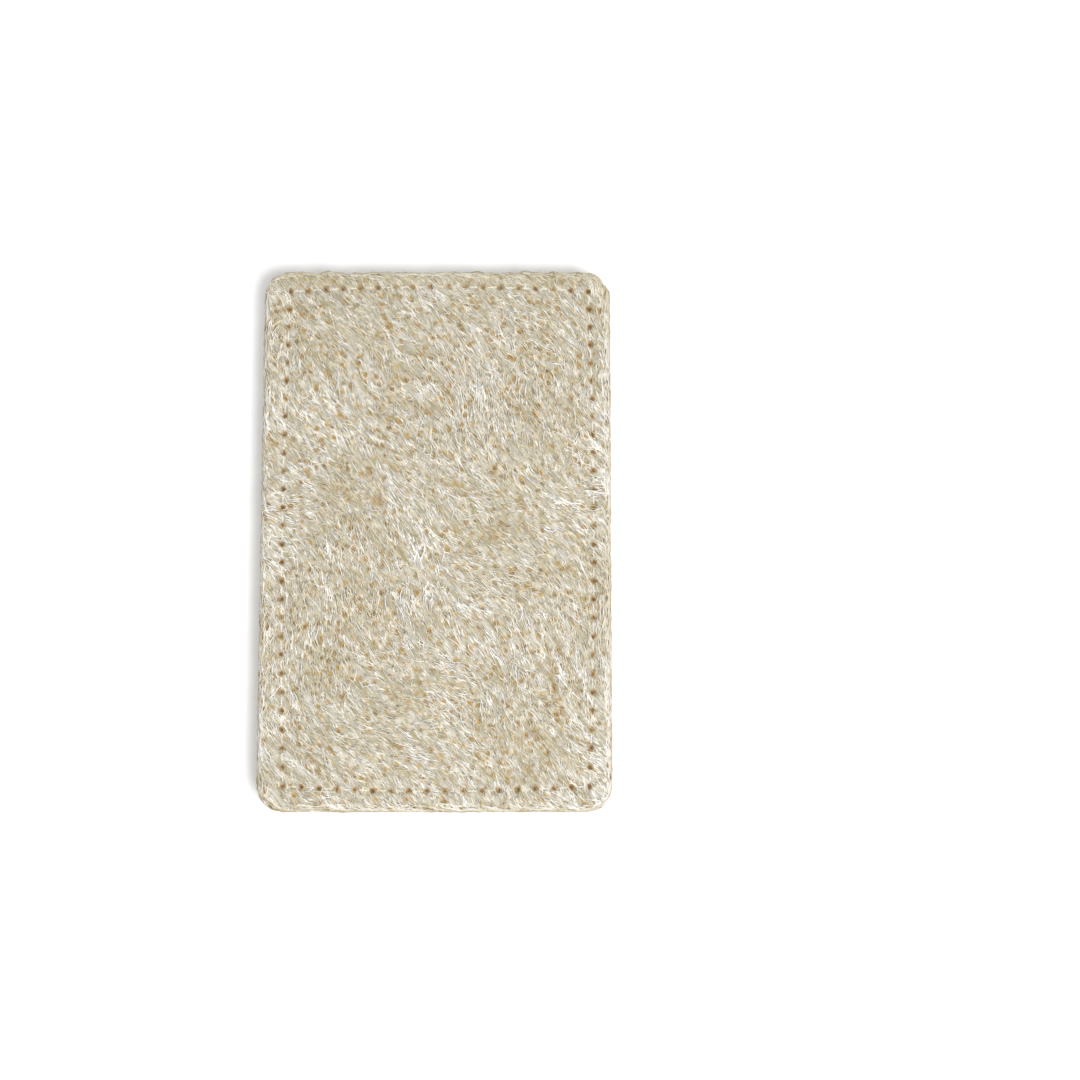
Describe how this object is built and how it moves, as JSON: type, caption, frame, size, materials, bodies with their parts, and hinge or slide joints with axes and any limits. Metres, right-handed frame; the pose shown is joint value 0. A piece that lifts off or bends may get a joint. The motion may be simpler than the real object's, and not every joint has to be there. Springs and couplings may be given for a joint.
{
  "type": "loofah sponge pad",
  "caption": "Thin rectangular scrub pad of pressed natural loofah, with rounded corners, a ragged rim, a raised fibre net on both faces and a sewn seam set in from its edge.",
  "frame": {"origin": "middle of the pad's outline, on the surface that its back sheet lies on", "axes": "+Z out of the front face, +Y along the pad's long side, +X along its short side"},
  "size_m": [0.08, 0.124, 0.01],
  "materials": {
    "loofah_fibre": "dry curly plant fibre, matt",
    "cotton_thread": "undyed twisted cotton, matt"
  },
  "bodies": {
    "root": {"front_loofah_sheet": "loofah_fibre", "back_loofah_sheet": "loofah_fibre", "needle_thread": "cotton_thread", "bobbin_thread": "cotton_thread"}
  },
  "joints": []
}
